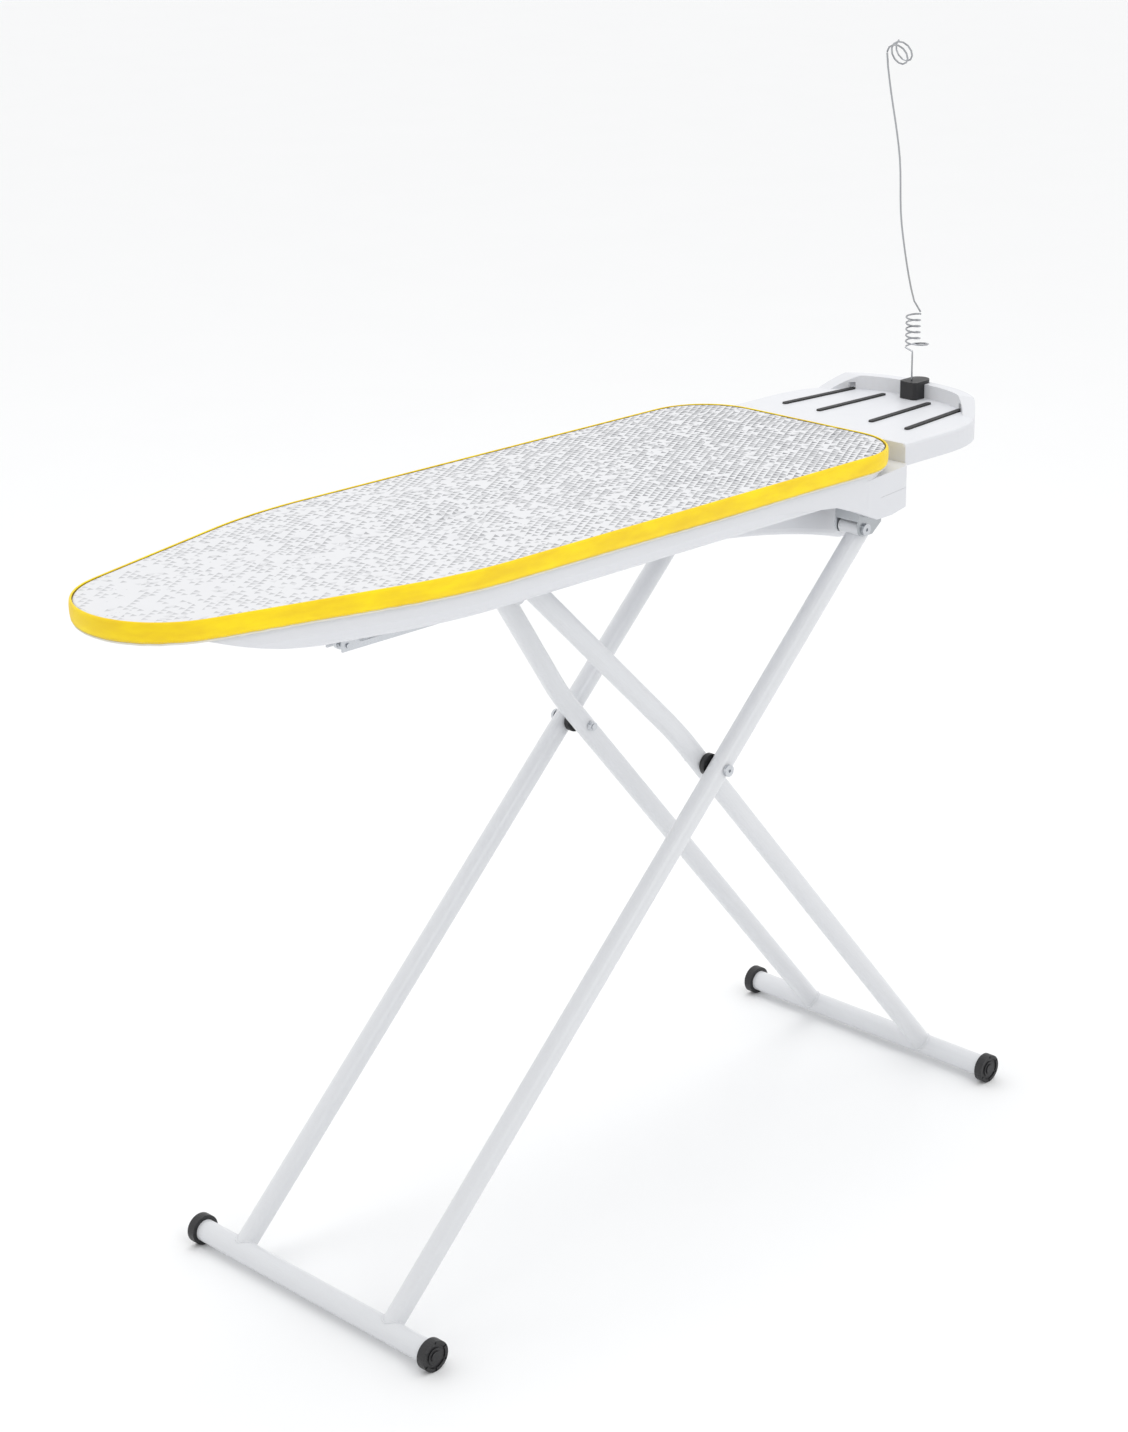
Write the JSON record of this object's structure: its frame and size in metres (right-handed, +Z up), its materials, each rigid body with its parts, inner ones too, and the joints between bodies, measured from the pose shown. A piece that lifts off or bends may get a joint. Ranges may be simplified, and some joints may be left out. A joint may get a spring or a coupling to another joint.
{
  "type": "ironing board",
  "caption": "Ironing board with a patterned padded cover, folding crossed tube legs, a rear iron tray and an upright wire cord arm.",
  "frame": {"origin": "on the floor, in the middle of the object's overall length and width", "axes": "+X along the board from its nose to the iron tray, +Y across the board, +Z up"},
  "size_m": [1.46, 0.4636, 1.473],
  "materials": {
    "cover_cloth": "matte",
    "foam": "matte",
    "zinc_steel": "satin",
    "white_plastic": "satin",
    "white_paint": "satin",
    "black_plastic": "matte",
    "black_rubber": "matte",
    "chrome_wire": "polished",
    "grey_plastic": "matte",
    "grey_steel": "satin"
  },
  "bodies": {
    "board": {"cover_fabric": "cover_cloth", "foam_pad": "foam", "mesh_top": "zinc_steel", "lower_shell": "white_plastic", "shell_screw_1": "zinc_steel", "shell_screw_2": "zinc_steel", "motor_cover": "white_plastic", "cover_screw_1": "zinc_steel", "cover_screw_2": "zinc_steel", "iron_tray": "white_plastic", "tray_screw_1": "zinc_steel", "tray_screw_2": "zinc_steel", "rest_strip_1": "black_rubber", "rest_strip_2": "black_rubber", "rest_strip_3": "black_rubber", "rest_strip_4": "black_rubber", "cable_arm_socket": "black_plastic", "pivot_bracket_near": "grey_steel", "pivot_bolt_near": "zinc_steel", "pivot_nut_near": "zinc_steel", "pivot_bracket_far": "grey_steel", "pivot_bolt_far": "zinc_steel", "pivot_nut_far": "zinc_steel", "height_rail": "zinc_steel", "rail_screw_1": "zinc_steel", "rail_screw_2": "zinc_steel", "lock_pin": "zinc_steel", "lock_spring": "zinc_steel", "fan_scroll": "grey_plastic", "motor_plate": "zinc_steel", "fan_motor": "grey_steel", "mains_inlet": "black_plastic", "switch_bezel": "black_plastic"},
    "outer_legs": {"outer_leg_near": "white_paint", "outer_leg_far": "white_paint", "front_foot_bar": "white_paint", "front_cap_near": "black_plastic", "front_cap_far": "black_plastic", "cross_bolt_near": "zinc_steel", "cross_nut_near": "zinc_steel", "cross_spacer_near": "black_plastic", "cross_bolt_far": "zinc_steel", "cross_nut_far": "zinc_steel", "cross_spacer_far": "black_plastic"},
    "inner_legs": {"inner_leg_near": "white_paint", "inner_leg_far": "white_paint", "rear_foot_bar": "white_paint", "rear_cap_near": "black_plastic", "rear_cap_far": "black_plastic", "slider_axle": "zinc_steel", "slider_glide_near": "black_plastic", "slider_glide_far": "black_plastic"},
    "lock_lever": {"lock_bar": "zinc_steel", "lock_grip": "black_plastic"},
    "cable_arm": {"cable_arm_coil": "chrome_wire", "cable_arm_rod": "chrome_wire", "cable_arm_ring": "chrome_wire"},
    "fan_rotor": {"fan_impeller": "grey_plastic", "fan_shaft": "zinc_steel"},
    "power_switch": {"switch_rocker": "black_plastic"}
  },
  "joints": [
    {"name": "leg_fold", "type": "hinge", "parent": "board", "child": "outer_legs", "pos_m": [0.404, 0, 0.871], "axis": [0, 1, 0], "range_deg": [0, 46]},
    {"name": "leg_cross", "type": "hinge", "parent": "outer_legs", "child": "inner_legs", "pos_m": [0.14358, 0, 0.59937], "axis": [0, 1, 0], "range_deg": [-92.5, 0]},
    {"name": "lock_release", "type": "hinge", "parent": "board", "child": "lock_lever", "pos_m": [-0.3721, 0, 0.862], "axis": [0, 1, 0], "range_deg": [0, 5], "stiffness_Nm_per_rad": 20, "springref_deg": -5.16},
    {"name": "arm_swivel", "type": "hinge", "parent": "board", "child": "cable_arm", "pos_m": [0.699, 0, 0.985], "axis": [0, 0, 1], "range_deg": [-180, 180]},
    {"name": "fan_spin", "type": "hinge", "parent": "board", "child": "fan_rotor", "pos_m": [0.328, 0, 0.9], "axis": [0, 0, 1], "continuous": true},
    {"name": "switch_rock", "type": "hinge", "parent": "board", "child": "power_switch", "pos_m": [0.486, -0.134, 0.927], "axis": [0, 0, 1], "range_deg": [0, 14]}
  ],
  "couplings": [
    {"joint": "leg_cross", "follows": "leg_fold", "ratio": -2}
  ]
}
